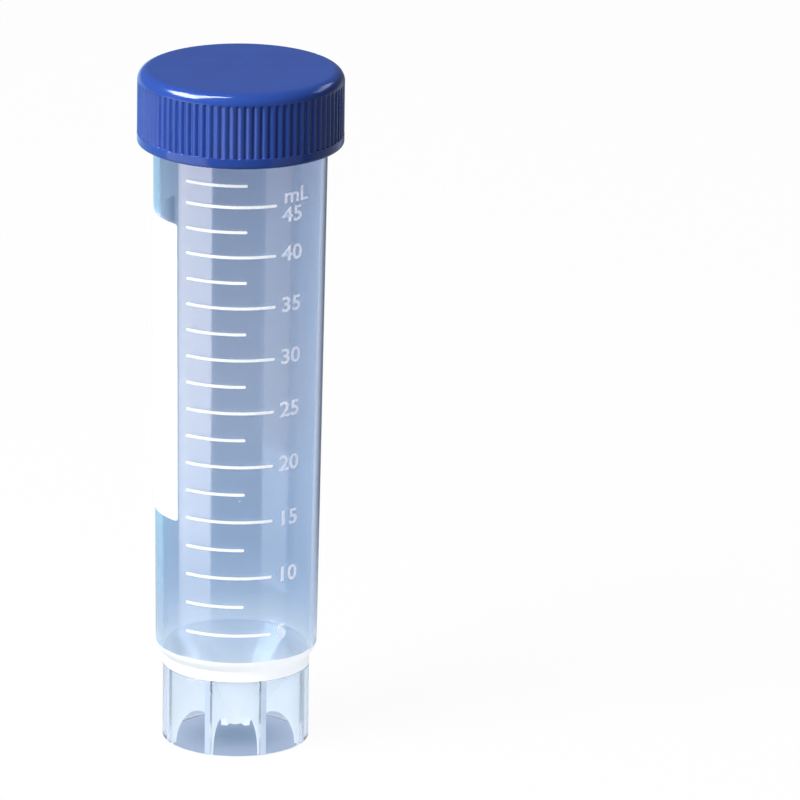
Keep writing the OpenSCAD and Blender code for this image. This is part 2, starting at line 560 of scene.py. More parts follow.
@dataclass(frozen=True)
class Finish(ABC):
    """A named surface finish that can be put on pieces."""

    name: str

    @abstractmethod
    def shade(self, sheet: Sheet, principled: Node) -> None:
        """Fills the nodes round the Principled BSDF.

        Args:
            sheet: The material's nodes.
            principled: The shader that they start with.
        """

    def material(self) -> bpy.types.Material:
        """Makes the material on first use.

        Returns:
            The material of the finish's name.
        """
        material = bpy.data.materials.get(self.name)
        if material is None:
            material = bpy.data.materials.new(self.name)
            material.use_nodes = True
            self.shade(Sheet(material.node_tree), material.node_tree.nodes["Principled BSDF"])
        return material

    def put_on(self, *pieces: Piece) -> None:
        """Gives pieces this finish alone.

        Args:
            *pieces: The pieces.
        """
        for piece in pieces:
            piece.data.materials.clear()
            piece.data.materials.append(self.material())

    def add_to(self, piece: Piece, faces: Array) -> None:
        """Gives this finish to some faces of a piece that already has another.

        Args:
            piece: The piece.
            faces: True for each face that takes this finish.
        """
        piece.data.materials.append(self.material())
        index = read(piece.data.polygons, "material_index", kind=np.int32)
        index[faces] = len(piece.data.materials) - 1
        piece.data.polygons.foreach_set("material_index", index)


@dataclass(frozen=True)
class Moulded(Finish):
    """Moulded plastic, with a slightly cloudy roughness and an uneven normal.

    Attributes:
        roughness: Least and greatest roughness.
        index: Index of refraction.
    """

    roughness: tuple[float, float] = (0.03, 0.07)
    index: float = 1.49

    def skin(self, sheet: Sheet, principled: Node, values: dict[str, float]) -> Socket:
        """Joins the moulding's roughness and normal, and sets the index.

        Args:
            sheet: The material's nodes.
            principled: The shader.
            values: Scales and depths of the moulding.

        Returns:
            The moulding's mask.
        """
        moulding = sheet.group(Groups.moulding(), values)
        rough = sheet.spread(moulding.outputs["Mask"], *CLOUD_RANGE, *self.roughness)
        normal = moulding.outputs["Normal"]
        sheet.fill(principled, {"Roughness": rough, "Normal": normal, "IOR": self.index})
        return moulding.outputs["Mask"]

    def clouded(
        self, sheet: Sheet, principled: Node, values: dict[str, float], deep: Colour, pale: Colour
    ) -> None:
        """Joins the skin, and a colour that follows its mask.

        Args:
            sheet: The material's nodes.
            principled: The shader.
            values: Scales and depths of the moulding.
            deep: Colour where the mask is low.
            pale: Colour where it is high.
        """
        share = sheet.spread(self.skin(sheet, principled, values), *CLOUD_RANGE)
        sheet.give(principled.inputs["Base Color"], sheet.ramp(share, [(0.0, deep), (1.0, pale)]))


@dataclass(frozen=True)
class ClearPlastic(Moulded):
    """Clear moulded plastic with a cool tint, and painted shade that deepens it towards the mouth.

    Attributes:
        tint_and_painted_shade: Height in millimetres and the colour that one wall lets through there: the
            plastic's cool tint with painted shade, deeper towards the mouth.
        clearness: Share of the light that passes and isn't scattered.
    """

    tint_and_painted_shade: tuple[tuple[float, Colour], ...] = (
        (12.0, (0.94, 0.965, 0.98)),
        (18.0, (0.76, 0.83, 0.905)),
        (22.0, (0.61, 0.70, 0.82)),
        (30.0, (0.51, 0.615, 0.75)),
        (60.0, (0.535, 0.605, 0.715)),
        (92.0, (0.475, 0.545, 0.665)),
        (103.0, (0.43, 0.485, 0.61)),
    )
    clearness: float = 0.97

    def shade(self, sheet: Sheet, principled: Node) -> None:
        """Tint with painted shade by height, cloudy roughness and slow sink.

        Args:
            sheet: The material's nodes.
            principled: The shader that they start with.
        """
        self.skin(sheet, principled, {"Cloud Scale": 90.0, "Sink Depth": 0.015})
        # painted shade: the cool tint deepens from the foot towards the mouth
        low, high = self.tint_and_painted_shade[0][0], self.tint_and_painted_shade[-1][0]
        stops = [((height - low) / (high - low), colour) for height, colour in self.tint_and_painted_shade]
        colour = sheet.ramp(sheet.spread(sheet.height(), low, high), stops)
        sheet.fill(principled, {"Base Color": colour, "Transmission Weight": self.clearness})


@dataclass(frozen=True)
class MilkyPlastic(Moulded):
    """The same plastic where it is thick: it scatters light outside, and is clear from within.

    Attributes:
        colour: Colour of the brighter clouds.
        shadow: Colour of the darker clouds.
        clearness: Share of the light that passes from outside and isn't scattered.
        tint: Colour that the inner side lets through.
        smooth: Roughness of the inner side.
        opening: Share of the inner side that is clear.
    """

    roughness: tuple[float, float] = (0.38, 0.46)
    colour: Colour = (0.97, 0.985, 0.99)
    shadow: Colour = (0.94, 0.965, 0.98)
    clearness: float = 0.1
    tint: Colour = (0.94, 0.965, 0.985)
    smooth: float = 0.05
    opening: float = 1.0

    def shade(self, sheet: Sheet, principled: Node) -> None:
        """Nearly white, with a cloudy colour and roughness, and clear on the faces' inner side.

        Args:
            sheet: The material's nodes.
            principled: The shader that they start with.
        """
        values = {"Cloud Scale": 200.0, "Sink Depth": 0.01}
        self.clouded(sheet, principled, values, self.shadow, self.colour)
        principled.inputs["Transmission Weight"].default_value = self.clearness
        inputs = {"Base Color": self.tint, "Roughness": self.smooth, "IOR": self.index}
        within = sheet.add("BsdfPrincipled", {**inputs, "Transmission Weight": 1.0})
        behind = sheet.math("MULTIPLY", sheet.add("NewGeometry").outputs["Backfacing"], self.opening)
        mixed = sheet.either(behind, principled.outputs[0], within.outputs[0])
        sheet.give(sheet.tree.nodes["Material Output"].inputs["Surface"], mixed)


@dataclass(frozen=True)
class CapPlastic(Moulded):
    """Opaque coloured plastic with a soft sheen and a slightly cloudy colour."""

    roughness: tuple[float, float] = (0.12, 0.16)
    colour: Colour = (0.032, 0.086, 0.40)
    shadow: Colour = (0.029, 0.078, 0.37)
    gloss: float = 0.15

    def shade(self, sheet: Sheet, principled: Node) -> None:
        """Colour and roughness follow the moulding's cloud, with fine grain in the normal.

        Args:
            sheet: The material's nodes.
            principled: The shader that they start with.
        """
        values = {"Cloud Scale": 160.0, "Sink Depth": 0.01, "Grain Scale": 4000.0, "Grain Depth": 0.004}
        self.clouded(sheet, principled, values, self.shadow, self.colour)
        principled.inputs["Specular IOR Level"].default_value = self.gloss


@dataclass(frozen=True)
class PrintInk(Finish):
    """White screen-printed ink with specks and worn places.

    Attributes:
        colour: Colour of full ink.
        shadow: Colour of thin ink.
        thin: Cover up to which the ink counts as thin.
        ink: Cover where nothing is worn.
        wear: Cover that the worn places lose.
        roughness: Roughness of the ink.
    """

    colour: Colour = (0.93, 0.95, 0.97)
    shadow: Colour = (0.86, 0.89, 0.93)
    thin: float = 0.6
    ink: float = 1.0
    wear: float = 0.12
    roughness: float = 0.7

    def shade(self, sheet: Sheet, principled: Node) -> None:
        """Cover drives the alpha and the colour, and the skin is slightly uneven.

        Args:
            sheet: The material's nodes.
            principled: The shader that they start with.
        """
        cover = sheet.group(Groups.print_cover(), {"Wear": self.wear, "Ink": self.ink})
        share = cover.outputs["Cover"]
        colour = sheet.ramp(share, [(self.thin, self.shadow), (1.0, self.colour)])
        inputs = {"Base Color": colour, "Alpha": share, "Roughness": self.roughness}
        sheet.fill(principled, {**inputs, "Normal": cover.outputs["Normal"]})


# ---------------------------------------------------------------- sub-assemblies


@dataclass
class SubAssembly(ABC):
    """A group of pieces that is built and dressed together."""

    pieces: dict[str, Piece] = field(default_factory=dict, init=False)

    @abstractmethod
    def build(self) -> None:
        """Makes the pieces' meshes."""

    @abstractmethod
    def dress(self) -> None:
        """Puts the finishes on."""

    def keep(self, made: Piece, body: Body, slot: Slot, *nodes: str, crease: float = 35.0) -> None:
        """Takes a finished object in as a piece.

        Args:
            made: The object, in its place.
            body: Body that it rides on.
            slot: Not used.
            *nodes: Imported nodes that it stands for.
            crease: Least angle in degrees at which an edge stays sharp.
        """
        made.data.set_sharp_from_angle(angle=math.radians(crease))
        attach(made, body.value)
        if nodes:
            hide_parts(*nodes)
        self.pieces[made.name] = made

    def make(self) -> None:
        """Builds, dresses and reports the pieces."""
        self.build()
        self.dress()
        for name, piece in self.pieces.items():
            LOG.info("%s: %d vertices, %d faces", name, len(piece.data.vertices), len(piece.data.polygons))


@dataclass
class Tube(SubAssembly):
    """The tube: tapered barrel, cone with a round tip, skirt on webs, and neck thread.

    The mouth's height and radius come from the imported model.
    """

    length: float = field(init=False)
    top_r: float = field(init=False)
    skirt_r: float = field(init=False)
    skirt_bore_r: float = field(init=False)
    tip_centre_z: float = field(init=False)
    half_angle: float = field(init=False)
    junction_z: float = field(init=False)
    low_r: float = 13.65
    wall_low: float = 1.3
    wall_top: float = 1.05
    seat_depth: float = 5.0
    lip_r: float = 0.3
    shoulder_z: float = 16.6
    shoulder_r: float = 3.0
    tip_z: float = 2.0
    tip_r: float = 3.2
    cone_wall: float = 0.95
    skirt_step: float = 1.25
    skirt_wall: float = 1.15
    foot_r: float = 0.35
    inner_foot_r: float = 0.12
    root_r: float = 0.4
    junction_r: float = 0.25
    well_round: float = 1.5
    seat_round: float = 2.0
    web_count: int = 8
    web_t: float = 1.0
    arch_h: float = 5.3
    arch_peak_r: float = 7.4
    arch_in_r: float = 5.0
    web_low_z: float = 3.2
    web_strip: float = 0.6
    web_bury: float = 0.4
    web_foot_z: float = 0.05
    web_start_r: float = 1.6
    junction_drop: float = 0.4
    junction_rise: float = 0.5
    thread_low: float = 8.8
    thread_high: float = 2.4
    thread_sunk: float = 0.1
    thread_h: float = 0.75
    painted_shade_share: float = 0.4
    skin: float = 0.1
    under_cos: float = 0.25
    steep_cos: float = 0.3
    outward_cos: float = 0.5
    arch_points: tuple[int, int] = (17, 25)
    around: int = 320
    finish: ClearPlastic = ClearPlastic("tube_clear_plastic")
    ring_finish: MilkyPlastic = MilkyPlastic("tube_white_plastic", tint=(0.74, 0.85, 0.96))
    web_finish: MilkyPlastic = MilkyPlastic(
        "tube_milky_plastic", colour=(0.94, 0.97, 1.0), shadow=(0.91, 0.95, 0.985), opening=0.5
    )
    # painted shade: a darker strip of the skirt in front of each web, where the web shows through
    web_painted_shade_finish: MilkyPlastic = MilkyPlastic(
        "tube_web_painted_shade", colour=(0.50, 0.60, 0.74), shadow=(0.46, 0.56, 0.70)
    )
    # painted light: a pale warm skin on the cone's inner side, which lightens it
    cone_painted_light_finish: MilkyPlastic = MilkyPlastic(
        "tube_cone_painted_light", (0.06, 0.12), colour=(1.0, 0.96, 0.89), shadow=(0.96, 0.93, 0.87), clearness=0.25
    )

    def __post_init__(self) -> None:
        """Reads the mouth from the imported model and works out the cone."""
        low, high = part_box("tube")
        self.length = high.z / MM
        self.top_r = (high.x - low.x) / 2 / MM
        self.skirt_r = self.low_r - self.skirt_step
        self.skirt_bore_r = self.skirt_r - self.skirt_wall
        self.tip_centre_z = self.tip_z + self.tip_r
        rise = self.shoulder_z - self.tip_centre_z
        self.half_angle = math.acos(self.tip_r / math.hypot(self.low_r, rise)) - math.atan2(rise, self.low_r)
        self.junction_z = self.cone_z(self.skirt_bore_r, self.tip_r) - self.junction_drop

    def barrel_r(self, z: Array) -> Array:
        """Outside radius of the barrel: a straight line from the shoulder to the mouth."""
        slope = (self.top_r - self.low_r) / (self.length - self.shoulder_z)
        return self.low_r + slope * (np.asarray(z) - self.shoulder_z)

    def cone_z(self, r: float, tip_r: float) -> float:
        """Height on the straight side of a round-tipped cone, which leans by half_angle.

        Args:
            r: Radius of the point.
            tip_r: Radius of the round tip.

        Returns:
            Height of the point.
        """
        side_r = tip_r * math.cos(self.half_angle)
        side_z = self.tip_centre_z - tip_r * math.sin(self.half_angle)
        return side_z + (r - side_r) / math.tan(self.half_angle)

    def dome(self, tip_r: float) -> Array:
        """Quarter of the round tip, from the axis up to where the straight side touches it."""
        return arc((0, self.tip_centre_z), tip_r, -np.pi / 2, -self.half_angle, 12)

    def outside(self) -> Surface:
        """Barrel, shoulder, skirt and cone: a profile of straight runs and arcs, turned.

        Returns:
            One solid, filled up to the mouth.
        """
        bore_top = (self.skirt_bore_r, self.cone_z(self.skirt_bore_r, self.tip_r))
        skirt_top = (self.skirt_r, self.cone_z(self.skirt_r, self.tip_r))
        points = profile(
            self.dome(self.tip_r),
            Bend(bore_top, self.root_r, 5),
            Bend((self.skirt_bore_r, 0), self.inner_foot_r, 3),
            Bend((self.skirt_r, 0), self.foot_r, 6),
            (self.skirt_r, self.junction_z),
            Bend(skirt_top, self.junction_r, 5),
            Bend((self.low_r, self.shoulder_z), self.shoulder_r, 12),
            Bend((self.top_r, self.length), self.lip_r, 6),
            (0, self.length),
        )
        return revolve(points[:, 0], points[:, 1], self.around)

    def inside(self) -> Surface:
        """The space in the tube: a profile of straight runs and arcs, turned.

        Returns:
            A solid from the rounded well up past the flared mouth.
        """
        well_r = self.tip_r - self.cone_wall
        bore_low_r = self.low_r - self.wall_low
        seat_r = self.top_r - self.wall_top
        flare = arc((seat_r + self.lip_r, self.length - self.lip_r), self.lip_r, np.pi, np.pi / 2, 6)
        past = self.length + 1
        points = profile(
            self.dome(well_r),
            Bend((bore_low_r, self.cone_z(bore_low_r, well_r)), self.well_round, 8),
            Bend((seat_r, self.length - self.seat_depth), self.seat_round, 4),
            flare,
            (seat_r + self.lip_r, past),
            (0, past),
        )
        return revolve(points[:, 0], points[:, 1], self.around)

    def webs(self) -> Surface:
        """Flat webs from the cone to the skirt, each with an arch in two quarter ellipses under it.

        Returns:
            The webs, halfway between the multiples of one web's share of the turn.
        """
        rise = np.linspace(np.pi, np.pi / 2, self.arch_points[0])
        fall = np.linspace(np.pi / 2, 0, self.arch_points[1])[1:]
        arch_out_r = self.skirt_bore_r - self.web_strip
        climb = np.stack([
            self.arch_peak_r + (self.arch_peak_r - self.arch_in_r) * np.cos(rise),
            self.web_low_z + (self.arch_h - self.web_low_z) * np.sin(rise),
        ], axis=1)
        descent = np.stack([
            self.arch_peak_r + (arch_out_r - self.arch_peak_r) * np.cos(fall),
            np.maximum(self.arch_h * np.sin(fall), self.web_foot_z),
        ], axis=1)
        out_r = self.skirt_bore_r + self.web_bury
        top_z = self.cone_z(self.skirt_bore_r, self.tip_r) + self.web_bury
        outline = np.vstack([
            [(self.web_start_r, self.web_low_z)], climb, descent,
            [(out_r, self.web_foot_z), (out_r, top_z), (self.web_start_r, top_z)],
        ])
        plates = []
        for turn in (np.arange(self.web_count) + 0.5) * 2 * np.pi / self.web_count:
            out = np.array([np.sin(turn), -np.cos(turn), 0])
            side = np.array([np.cos(turn), np.sin(turn), 0])
            flat = outline[:, :1] * out + outline[:, 1:] * np.array([0, 0, 1])
            faces = [flat - side * self.web_t / 2, flat + side * self.web_t / 2]
            plates.append(carried(np.array(faces)))
        return merged(plates)

    def build(self) -> None:
        """One moulding: the filled outside, joined to the webs and thread, less the inside."""
        tube = self.outside().object("tube_moulding")
        combine(tube, self.webs().object("webs"), Join.ADD)
        ends = (self.length - self.thread_low, self.length - self.thread_high)
        thread = Thread(*ends, self.top_r - self.thread_sunk, self.thread_h)
        combine(tube, thread.surface().object("neck_thread"), Join.ADD)
        combine(tube, self.inside().object("bore"), Join.CUT)
        self.keep(tube, Body.TUBE, Slot.TUBE, "tube")

    def thick_faces(self, mesh: Mesh) -> tuple[Array, ...]:
        """Faces of the thick places, where the plastic looks white or milky, and of painted shade and light.

        White are the round tip, and the ring where cone, barrel and skirt meet, as far as it looks
        outwards. Milky are the webs and the cone's underside. The skirt in front of each web has
        painted shade: a darker strip. The cone's inner side has painted light: a pale warm skin.

        Args:
            mesh: The moulding's mesh.

        Returns:
            True for each face of the white places, of the webs and the underside, of the painted shade
            in front of the webs, and of the painted light on the cone's inner side.
        """
        centre, normal = read(mesh.polygons, "center", 3) / MM, read(mesh.polygons, "normal", 3)
        radius = np.hypot(centre[:, 0], centre[:, 1])
        height, up = centre[:, 2], normal[:, 2]
        outward = (centre[:, 0] * normal[:, 0] + centre[:, 1] * normal[:, 1]) / np.maximum(radius, MM)
        low = height < self.shoulder_z
        below = low & (up < self.under_cos) & (radius < self.skirt_bore_r - self.skin / 2)
        tip = below & (radius < self.tip_r) & (up < -self.steep_cos)
        over = (height > self.junction_z) & (height < self.shoulder_z + self.junction_rise)
        ring = over & (radius > self.skirt_bore_r) & (outward > 0)
        turn = np.arctan2(centre[:, 0], -centre[:, 1]) * self.web_count / (2 * np.pi)
        off_web = np.abs(turn % 1 - 0.5) * 2 * np.pi / self.web_count * radius
        skirt = (height < self.junction_z) & (radius > self.skirt_r - self.skin)
        # painted shade: the skirt's outer faces just in front of each web
        web_painted_shade = skirt & (outward > self.outward_cos) & (off_web < self.painted_shade_share * self.web_t)
        # painted light: the upward faces of the cone's inner side
        painted_light = low & (up > self.steep_cos) & (radius < self.low_r - self.wall_low)
        return tip | ring, below & ~tip, web_painted_shade, painted_light

    def dress(self) -> None:
        """Clear plastic, white and milky plastic on the thick parts of the base, painted shade on the skirt
        in front of the webs, and painted light on the cone's inner side.
        """
        moulding = self.pieces["tube_moulding"]
        finishes = (self.ring_finish, self.web_finish, self.web_painted_shade_finish, self.cone_painted_light_finish)
        places = self.thick_faces(moulding.data)
        self.finish.put_on(moulding)
        for finish, faces in zip(finishes, places):
            finish.add_to(moulding, faces)


@dataclass(frozen=True)
class Thread:
    """A helical ridge with tapered ends, outside a neck or, with a negative height, inside a cap.

    Attributes:
        low_z: Height of the ridge's middle where it starts.
        high_z: Height where it ends.
        root_r: Radius of the wall that it stands on.
        height: How far its crest stands from the wall.
        pitch: Rise in one turn.
        start: Angle at which it starts, in radians.
        width: Width of its root.
        bury: Depth of its root in the wall.
        lead: Turns over which it swells from each end.
        least: Share of its size that it has at its ends.
        edge_side: Place of the crest's edges, as a share of the width.
        edge_lift: Height of the crest's edges, as a share of the height.
        steps: Sections in one turn.
    """

    low_z: float
    high_z: float
    root_r: float
    height: float
    pitch: float = 3.6
    start: float = 0.0
    width: float = 1.5
    bury: float = 0.2
    lead: float = 0.12
    least: float = 0.06
    edge_side: float = 0.16
    edge_lift: float = 0.94
    steps: int = 160

    def surface(self) -> Surface:
        """A ridge carried along the helix: its height and width swell from each end.

        Returns:
            The closed ridge.
        """
        turns = (self.high_z - self.low_z) / self.pitch
        share = np.linspace(0, 1, int(self.steps * turns))[:, None]
        lead = self.lead / turns
        swell = smooth_step(share, 0, lead) * smooth_step(1 - share, 0, lead)
        swell = self.least + (1 - self.least) * swell
        angle = self.start + share * turns * 2 * np.pi
        side = np.array([-0.5, -0.5, -self.edge_side, 0, self.edge_side, 0.5, 0.5])
        lift = np.array([0, 0, self.edge_lift, 1, self.edge_lift, 0, 0])
        sunk = np.array([1, 0, 0, 0, 0, 0, 1])
        inward = -np.sign(self.height) * self.bury
        radius = self.root_r + swell * self.height * lift + sunk * inward
        middle = self.low_z + (self.high_z - self.low_z) * share
        return carried(around_axis(angle, radius, middle + swell * side * self.width))


@dataclass
class Cap(SubAssembly):
    """The screw cap: flat top, grip grooves over a plain rim, thread and sealing plug.

    The top's height and the cap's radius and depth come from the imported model.
    """

    r: float = field(init=False)
    low_z: float = field(init=False)
    top_z: float = field(init=False)
    bore_r: float = field(init=False)
    mouth_z: float = field(init=False)
    top_t: float = 1.6
    wall: float = 1.5
    edge_r: float = 2.0
    rim_r: float = 0.5
    rim_h: float = 1.6
    groove_count: int = 80
    groove_depth: float = 0.36
    groove_top: float = 2.1
    groove_fade: float = 0.8
    groove_round: float = 1.3
    groove_steps: int = 10
    groove_turn: float = 0.36
    clear_depths: int = 3
    crest_ease: float = 0.03
    foot_ease: float = 0.22
    plug_r: float = 13.6
    plug_t: float = 0.9
    plug_h: float = 3.2
    plug_lead: float = 0.4
    plug_round: float = 0.2
    inner_round: float = 0.3
    thread_low: float = 2.0
    thread_high: float = 8.6
    thread_sunk: float = 0.05
    thread_h: float = 0.8
    finish: CapPlastic = CapPlastic("cap_blue_plastic")

    def __post_init__(self) -> None:
        """Reads the cap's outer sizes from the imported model."""
        low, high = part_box("cap")
        self.r = (high.x - low.x) / 2 / MM
        self.low_z = low.z / MM
        self.top_z = high.z / MM
        self.bore_r = self.r - self.wall
        self.mouth_z = self.top_z - self.top_t

    def blank(self) -> Array:
        """Profile of the cap before its grip is cut.

        Returns:
            Radius and height of its points, from the underside's middle to the top's.
        """
        plug_low_z = self.mouth_z - self.plug_h
        plug_in_r = self.plug_r - self.plug_t
        foot_z = self.low_z + self.rim_h
        # rows close together where the grooves begin
        rise = foot_z + np.linspace(-0.5, 1.5, 9) * self.foot_ease
        foot = np.stack([np.full(len(rise), self.r), rise], axis=1)
        return profile(
            (0, self.mouth_z),
            Bend((plug_in_r, self.mouth_z), self.inner_round, 3),
            Bend((plug_in_r, plug_low_z), self.plug_round, 3),
            (self.plug_r - self.plug_lead, plug_low_z),
            (self.plug_r, plug_low_z + self.plug_lead),
            Bend((self.plug_r, self.mouth_z), self.plug_round, 3),
            Bend((self.bore_r, self.mouth_z), self.inner_round, 3),
            Bend((self.bore_r, self.low_z), self.inner_round, 3),
            Bend((self.r, self.low_z), self.rim_r, 8),
            foot,
            Bend((self.r, self.top_z), self.edge_r, 20),
            (0, self.top_z),
            steps=5,
        )

    def shell(self) -> Surface:
        """The blank with its radius held under a wave of rounded ribs, above the plain rim.

        At a share u of the pitch from the middle of a groove the wave lies at the full radius less
        the depth times (1 less a power of the sine of pi u).

        Returns:
            The closed moulding.
        """
        points = self.blank()
        around = self.groove_count * self.groove_steps
        share = (np.arange(around) / around * self.groove_count + self.groove_turn) % 1
        cut = self.r - self.groove_depth * (1 - np.sin(np.pi * share) ** self.groove_round)
        outer = points[:, 0] > self.bore_r + 0.5 * self.wall
        foot_z, end_z = self.low_z + self.rim_h, self.top_z - self.groove_top
        opened = smooth_step(points[:, 1], foot_z, foot_z + self.foot_ease)
        closed = smooth_step(points[:, 1], end_z, end_z + self.groove_fade)
        away = 1 - opened * (1 - closed) * outer
        limit = cut[None, :] + self.clear_depths * self.groove_depth * away[:, None]
        radius = soft_least(np.repeat(points[:, :1], around, axis=1), limit, self.crest_ease)
        radius = np.where(outer[:, None], radius, points[:, :1])
        return revolve(radius, points[:, 1], around)

    def build(self) -> None:
        """The moulding, and the thread inside it."""
        cap = self.shell().object("cap_moulding")
        self.keep(cap, Body.CAP, Slot.CAP, "cap")
        ends = (self.low_z + self.thread_low, self.low_z + self.thread_high)
        thread = Thread(*ends, self.bore_r + self.thread_sunk, -self.thread_h, start=np.pi)
        self.keep(thread.surface().object("cap_thread"), Body.CAP, Slot.CAP)

    def dress(self) -> None:
        """Blue plastic on both."""
        self.finish.put_on(*self.pieces.values())


@dataclass
class Printing(SubAssembly):
    """Everything screen-printed on the barrel: volume lines, figures, unit and write-on field.

    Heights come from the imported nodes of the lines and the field.
    """

    tube: Tube
    proud: float = 0.03
    sunk: float = 0.05
    blunt: float = 0.15
    line_gap: float = 1.0
    line_round: float = 0.9
    line_columns: int = 48
    field_columns: int = 96
    bend_columns: int = 8
    rows: int = 9
    line_start: float = -38.0
    long_span: float = 63.0
    short_span: float = 43.0
    field_end: float = -46.0
    field_span: float = 79.0
    field_corner: float = 0.6
    figure_start: float = 29.1
    figure_h: float = 2.68
    figure_rise: float = 0.3
    figure_step: int = 5
    figure_bold: float = 0.06
    least_turn: float = 0.4
    figure_wide: float = 1.15
    unit_turn: float = 0.9
    unit_rise: float = 1.6
    top_figure_drop: float = 2.0
    line_ink: PrintInk = PrintInk("line_ink")
    figure_ink: PrintInk = PrintInk("figure_ink", (0.86, 0.895, 1.0), (0.78, 0.82, 0.94), wear=0.2)
    field_ink: PrintInk = PrintInk("field_ink", wear=0.03, roughness=0.6)

    def band(self, start: float, span: float, z0: float, z1: float, corner: float, columns: int) -> Surface:
        """A thin curved band on the barrel, with rounded corners.

        Near its ends the half height falls by corner less the root of corner squared less the
        square of the distance into the corner.

        Args:
            start: Angle at which it starts, in degrees.
            span: Angle that it covers, in degrees.
            z0: Height of its lower edge.
            z1: Height of its upper edge.
            corner: Radius of its corners.
            columns: Sections between the two corners.

        Returns:
            The closed band, its inner face just inside the barrel's wall.
        """
        middle, half = (z0 + z1) / 2, (z1 - z0) / 2
        radius = float(self.tube.barrel_r(middle))
        length = math.radians(span) * radius
        bend = corner * (1 - np.cos(np.linspace(self.blunt, np.pi / 2, self.bend_columns)))
        middles = np.linspace(corner, length - corner, columns)[1:-1]
        along = np.concatenate([bend, middles, (length - bend)[::-1]])
        into = np.clip(corner - np.minimum(along, length - along), 0, corner)
        reach = half - corner + np.sqrt(corner**2 - into**2)
        side = np.linspace(-1, 1, self.rows)
        height = middle + reach[:, None] * np.concatenate([side, side[::-1]])[None, :]
        offset = np.repeat([self.proud, -self.sunk], len(side))[None, :]
        angle = math.radians(start) + along[:, None] / radius
        return carried(around_axis(angle, self.tube.barrel_r(height) + offset, height))

    def lines(self, name: str, node: str, span: float) -> list[float]:
        """Makes the lines that stand for a node.

        Args:
            name: Name of the piece.
            node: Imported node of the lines.
            span: Angle that each covers.

        Returns:
            Heights of the lines' middles, lowest first.
        """
        found = np.unique(np.round(node_points(node)[:, 2], 3))
        breaks = np.flatnonzero(np.diff(found) > self.line_gap)
        lows = found[np.concatenate([[0], breaks + 1])]
        highs = found[np.concatenate([breaks, [len(found) - 1]])]
        corner = float(highs[0] - lows[0]) / 2 * self.line_round
        shape = (corner, self.line_columns)
        bands = [self.band(self.line_start, span, *ends, *shape) for ends in zip(lows, highs)]
        self.keep(merged(bands).object(name), Body.TUBE, Slot.SCALE, node)
        return list((lows + highs) / 2)

    def lettering(self, text: str, z: float, start: float) -> Surface:
        """Characters in the built-in typeface, wrapped on the barrel.

        A point at (x, y) of the flat text goes to the angle x over the radius and the height y.

        Args:
            text: The characters.
            z: Height of their middle.
            start: Angle in degrees at which they start.

        Returns:
            The closed characters.
        """
        curve = bpy.data.curves.new(text, "FONT")
        curve.body = text
        curve.size = self.figure_h / FIGURE_SHARE
        curve.resolution_u = 6
        curve.extrude = (self.proud + self.sunk) / 2
        flat = placed(text, curve)
        mesh = bpy.data.meshes.new_from_object(flat.evaluated_get(bpy.context.evaluated_depsgraph_get()))
        points = self.bolder(mesh) * (self.figure_wide, 1, 1)
        mesh.calc_loop_triangles()
        triangles = read(mesh.loop_triangles, "vertices", 3, np.int32)
        bpy.data.objects.remove(flat)
        bpy.data.curves.remove(curve)
        bpy.data.meshes.remove(mesh)
        height = z + points[:, 1] - self.figure_h / 2
        radius = self.tube.barrel_r(height) + points[:, 2] + (self.proud - self.sunk) / 2
        angle = math.radians(start) + points[:, 0] / float(self.tube.barrel_r(z))
        return Surface(around_axis(angle, radius, height), (triangles,)).outward()

    def bolder(self, mesh: Mesh) -> Array:
        """Points of flat letters with their outline moved outwards.

        Each corner of the outline moves along the mean of the directions that the side faces round
        it look in, by the boldness divided by the mean's length.

        Args:
            mesh: The letters, lying flat.

        Returns:
            (n, 3) points in the mesh's order.
        """
        points = read(mesh.vertices, "co", 3)
        loops = read(mesh.loops, "vertex_index", kind=np.int32)
        totals = read(mesh.polygons, "loop_total", kind=np.int32)
        normals = np.repeat(read(mesh.polygons, "normal", 3), totals, axis=0)
        # faces that look sideways, and none without an area
        side = (np.abs(normals[:, 2]) < 0.5) & (np.linalg.norm(normals, axis=1) > 0.5)
        _, corner = np.unique(np.round(points[:, :2], 3), axis=0, return_inverse=True)
        corner = corner.ravel()
        away = np.zeros((corner.max() + 1, 2))
        np.add.at(away, corner[loops[side]], normals[side, :2])
        away /= np.maximum(np.bincount(corner[loops[side]], minlength=len(away)), 1)[:, None]
        away /= np.maximum(np.sum(away**2, axis=1), self.least_turn)[:, None]
        points[:, :2] += self.figure_bold * away[corner]
        return points

    def build(self) -> None:
        """Lines, figures beside the long lines, unit over the top figure, and the field."""
        long_z = self.lines("long_lines", "long_marks", self.long_span)
        self.lines("short_lines", "short_marks", self.short_span)
        for number, z in enumerate(long_z, start=1):
            shift = self.figure_rise - (self.top_figure_drop if number == len(long_z) else 0)
            figure = self.lettering(str(number * self.figure_step), z + shift, self.figure_start)
            self.keep(figure.object(f"figure_{number * self.figure_step}"), Body.TUBE, Slot.SCALE)
        unit = self.lettering("mL", long_z[-1] + self.unit_rise, self.figure_start + self.unit_turn)
        self.keep(unit.object("unit_sign"), Body.TUBE, Slot.SCALE)
        z = node_points("write_on_patch")[:, 2]
        start = self.field_end - self.field_span
        ends = (float(z.min()), float(z.max()))
        panel = self.band(start, self.field_span, *ends, self.field_corner, self.field_columns)
        self.keep(panel.object("write_on_field"), Body.TUBE, Slot.PATCH, "write_on_patch")

    def dress(self) -> None:
        """White ink: cooler and more worn on the figures, nearly whole on the field."""
        for name, piece in self.pieces.items():
            ink = self.line_ink if name.endswith("lines") else self.figure_ink
            ink = self.field_ink if name == "write_on_field" else ink
            ink.put_on(piece)


def node_points(node: str) -> Array:
    """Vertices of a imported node, in millimetres."""
    return read(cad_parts[node].data.vertices, "co", 3) / MM


# ---------------------------------------------------------------- studio


